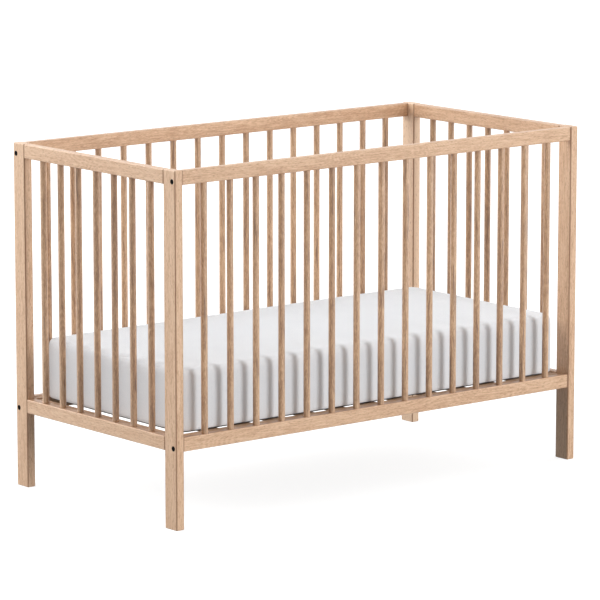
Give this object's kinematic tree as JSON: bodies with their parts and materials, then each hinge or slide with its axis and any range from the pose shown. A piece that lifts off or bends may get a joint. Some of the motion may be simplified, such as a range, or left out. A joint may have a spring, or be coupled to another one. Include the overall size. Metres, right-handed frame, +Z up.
{
  "type": "baby crib",
  "caption": "Wooden baby crib with straight posts, round bars on all four sides, a low slatted base and a thick light mattress that lifts out over the top rails.",
  "frame": {"origin": "on the floor, under the middle of the crib's box", "axes": "+X along the crib's long side from the left end to the right end, +Y from the front side to the back side, +Z up"},
  "size_m": [1.26, 0.642, 0.845],
  "materials": {
    "post_beech": "satin clear lacquer",
    "rail_beech": "satin clear lacquer",
    "bar_beech": "satin clear lacquer",
    "base_beech": "planed, unlacquered",
    "slat_beech": "planed, unlacquered",
    "dowel_beech": "plain",
    "black_steel": "black oxide",
    "zinc_steel": "zinc plated",
    "mattress_cloth": "fine woven cotton",
    "mattress_foam": "open-cell foam"
  },
  "bodies": {
    "frame": {"front_left_post": "post_beech", "back_left_post": "post_beech", "front_right_post": "post_beech", "back_right_post": "post_beech", "front_bottom_rail": "rail_beech", "back_bottom_rail": "rail_beech", "left_bottom_rail": "rail_beech", "right_bottom_rail": "rail_beech", "front_top_rail": "rail_beech", "back_top_rail": "rail_beech", "left_top_rail": "rail_beech", "right_top_rail": "rail_beech", "front_bars": "bar_beech", "back_bars": "bar_beech", "left_end_bar_1": "bar_beech", "left_end_bar_2": "bar_beech", "left_end_bar_3": "bar_beech", "left_end_bar_4": "bar_beech", "left_end_bar_5": "bar_beech", "left_end_bar_6": "bar_beech", "left_end_bar_7": "bar_beech", "right_end_bar_1": "bar_beech", "right_end_bar_2": "bar_beech", "right_end_bar_3": "bar_beech", "right_end_bar_4": "bar_beech", "right_end_bar_5": "bar_beech", "right_end_bar_6": "bar_beech", "right_end_bar_7": "bar_beech", "base_front_batten": "base_beech", "base_back_batten": "base_beech", "base_left_batten": "base_beech", "base_right_batten": "base_beech", "base_slat_01": "slat_beech", "base_slat_02": "slat_beech", "base_slat_03": "slat_beech", "base_slat_04": "slat_beech", "base_slat_05": "slat_beech", "base_slat_06": "slat_beech", "base_slat_07": "slat_beech", "base_slat_08": "slat_beech", "base_slat_09": "slat_beech", "base_slat_10": "slat_beech", "base_slat_11": "slat_beech", "side_bolts": "black_steel", "base_bolts": "black_steel", "base_corner_screws": "zinc_steel", "barrel_nuts": "zinc_steel", "rail_dowels": "dowel_beech", "end_frame_dowels": "dowel_beech", "insert_nuts": "zinc_steel"},
    "mattress": {"mattress_cover": "mattress_cloth", "mattress_core": "mattress_foam"}
  },
  "joints": [
    {"name": "mattress_lift", "type": "slide", "parent": "frame", "child": "mattress", "axis": [0, 0, 1], "range_m": [0, 0.65]}
  ]
}
